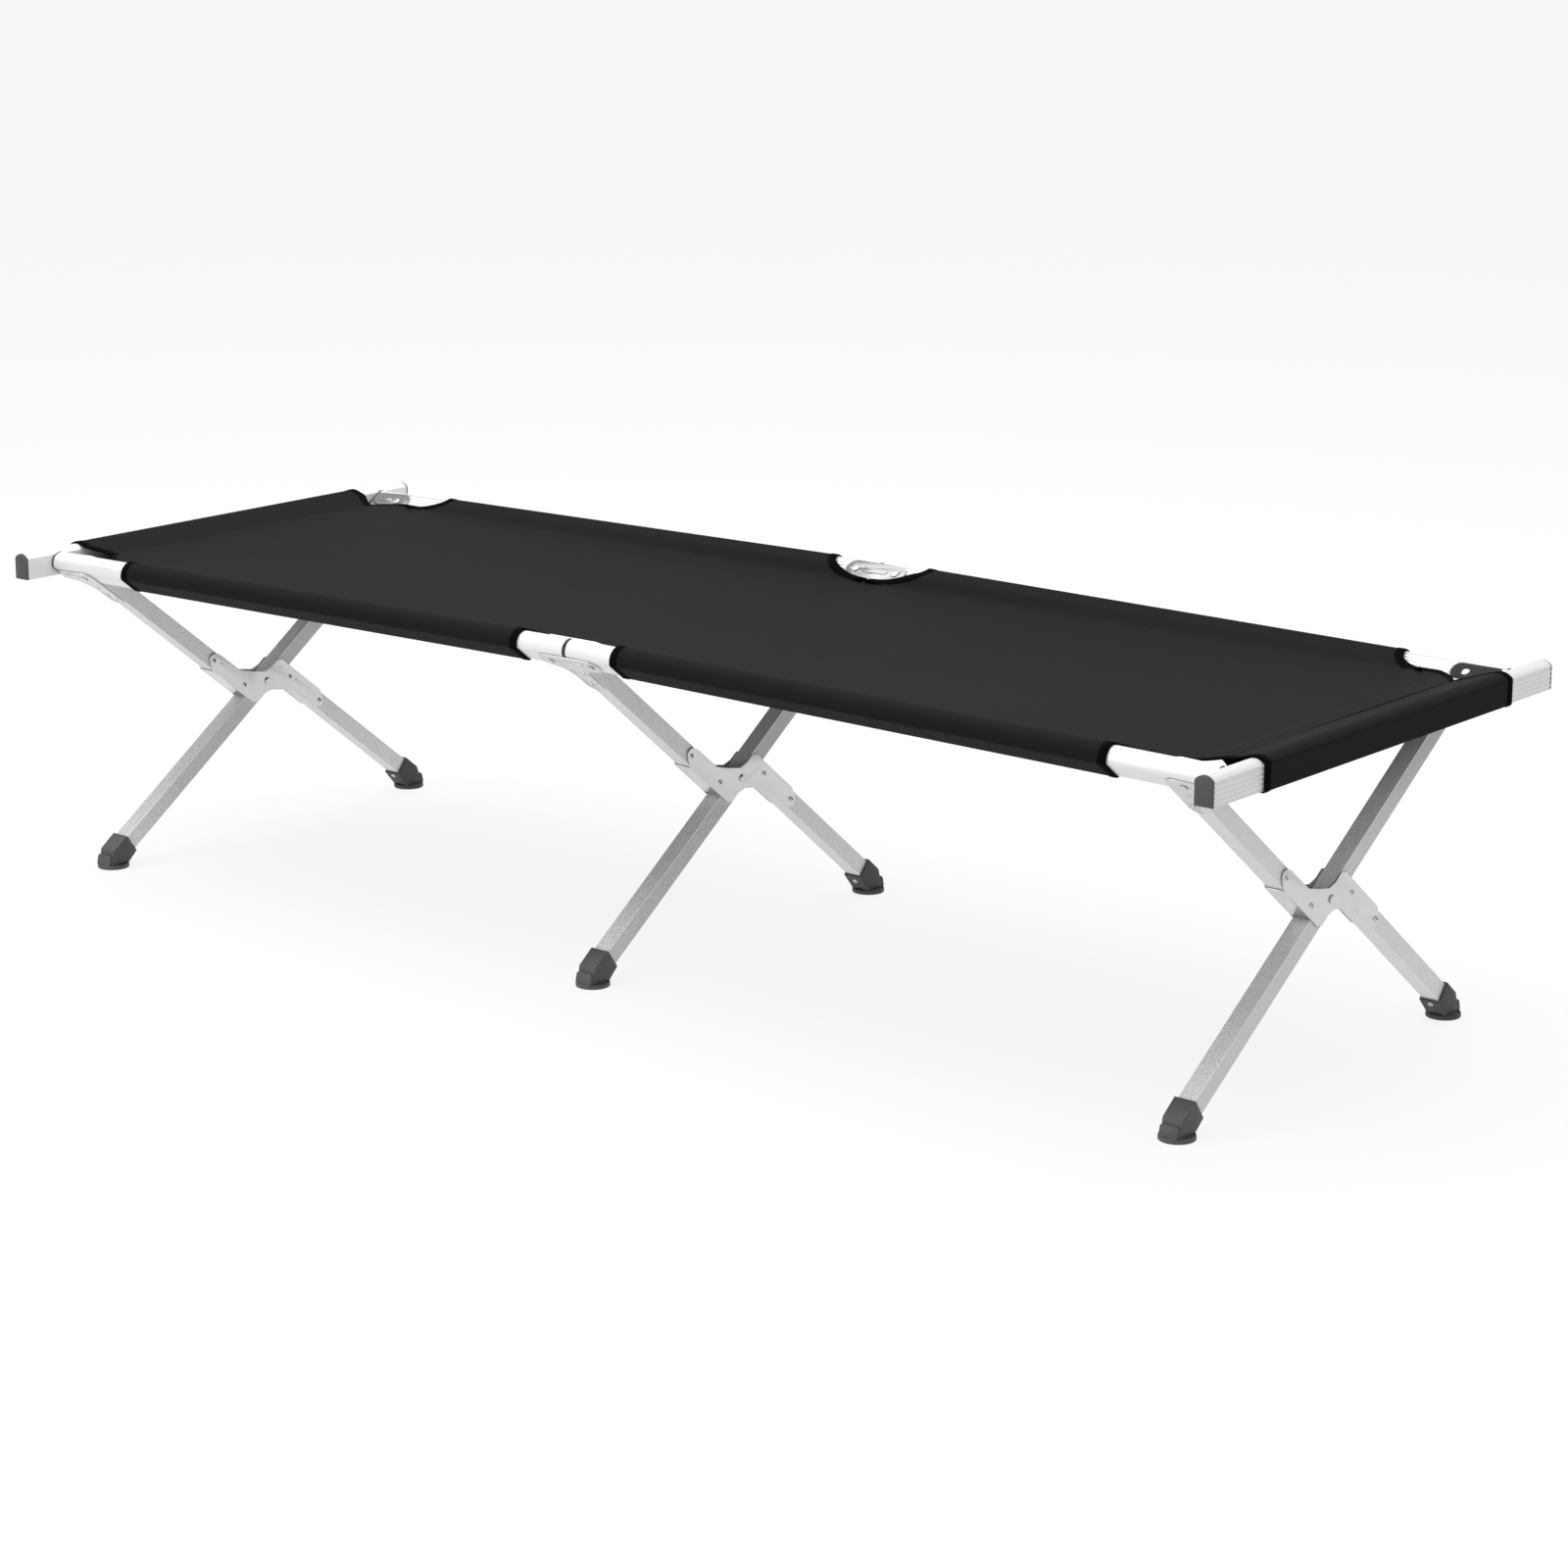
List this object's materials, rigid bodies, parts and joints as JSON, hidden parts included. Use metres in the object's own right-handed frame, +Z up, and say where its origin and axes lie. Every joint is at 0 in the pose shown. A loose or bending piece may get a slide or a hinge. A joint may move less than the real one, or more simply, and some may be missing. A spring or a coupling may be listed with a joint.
{
  "type": "folding camp cot",
  "caption": "Folding camp cot with a stretched fabric sleeping panel on a scissor-leg metal frame, removable end bars and round plastic feet.",
  "frame": {"origin": "on the floor, under the middle of the cot", "axes": "+X along the length, +Y across the width toward the rear rail, +Z up"},
  "size_m": [2.103, 0.79, 0.4862],
  "materials": {
    "aluminium": "satin anodised extrusion",
    "steel": "zinc-plated, bright",
    "fabric": "coated woven polyester, dark charcoal",
    "grey_plastic": "moulded, satin grey",
    "dark_plastic": "moulded, fine grain",
    "black_plastic": "moulded, black"
  },
  "bodies": {
    "front_frame": {"end_sleeve_left": "fabric", "end_sleeve_right": "fabric", "front_bracket_pin_left": "steel", "front_bracket_pin_right": "steel", "front_frame_lower_leg_centre": "aluminium", "front_frame_lower_leg_left": "aluminium", "front_frame_lower_leg_right": "aluminium", "front_frame_upper_leg_centre": "aluminium", "front_frame_upper_leg_left": "aluminium", "front_frame_upper_leg_right": "aluminium", "front_hinge_pin_left": "steel", "front_hinge_pin_right": "steel", "front_leg_bracket_centre": "steel", "front_leg_bracket_left": "steel", "front_leg_bracket_right": "steel", "front_rail_left": "aluminium", "front_rail_left_end_plug": "black_plastic", "front_rail_left_hinge_plug": "black_plastic", "front_rail_right": "aluminium", "front_rail_right_end_plug": "black_plastic", "front_rail_right_hinge_plug": "black_plastic", "front_sleeve_left": "fabric", "front_sleeve_right": "fabric", "hub_bracket_centre": "steel", "hub_bracket_left": "steel", "hub_bracket_right": "steel", "rear_foot_centre": "dark_plastic", "rear_foot_left": "dark_plastic", "rear_foot_right": "dark_plastic", "sleeping_panel": "fabric"},
    "rear_frame": {"front_foot_centre": "dark_plastic", "front_foot_left": "dark_plastic", "front_foot_right": "dark_plastic", "hub_pin_centre": "steel", "hub_pin_left": "steel", "hub_pin_right": "steel", "rear_bracket_pin_left": "steel", "rear_bracket_pin_right": "steel", "rear_frame_leg_centre": "aluminium", "rear_frame_leg_left": "aluminium", "rear_frame_leg_right": "aluminium", "rear_hinge_pin_left": "steel", "rear_hinge_pin_right": "steel", "rear_leg_bracket_centre": "steel", "rear_leg_bracket_left": "steel", "rear_leg_bracket_right": "steel", "rear_rail_left": "aluminium", "rear_rail_left_end_plug": "black_plastic", "rear_rail_left_hinge_plug": "black_plastic", "rear_rail_right": "aluminium", "rear_rail_right_end_plug": "black_plastic", "rear_rail_right_hinge_plug": "black_plastic", "rear_sleeve_left": "fabric", "rear_sleeve_right": "fabric"},
    "end_bar_left": {"end_bar_left": "aluminium", "end_cap_left_front": "grey_plastic", "end_cap_left_rear": "grey_plastic"},
    "end_bar_right": {"end_bar_right": "aluminium", "end_cap_right_front": "grey_plastic", "end_cap_right_rear": "grey_plastic"}
  },
  "joints": [
    {"name": "scissor", "type": "hinge", "parent": "front_frame", "child": "rear_frame", "pos_m": [0, 0, 0.233], "axis": [1, 0, 0], "range_deg": [0, 99.5], "deforming": ["sleeping_panel", "end_sleeve_left", "end_sleeve_right"]},
    {"name": "end_bar_left_release", "type": "slide", "parent": "front_frame", "child": "end_bar_left", "axis": [-1, 0, 0], "range_m": [0, 0.3]},
    {"name": "end_bar_right_release", "type": "slide", "parent": "front_frame", "child": "end_bar_right", "axis": [1, 0, 0], "range_m": [0, 0.3]}
  ],
  "couplings": [
    {"joint": "end_bar_left_release", "follows": "scissor", "m_per_rad": 0.17275},
    {"joint": "end_bar_right_release", "follows": "scissor", "m_per_rad": 0.17275}
  ]
}
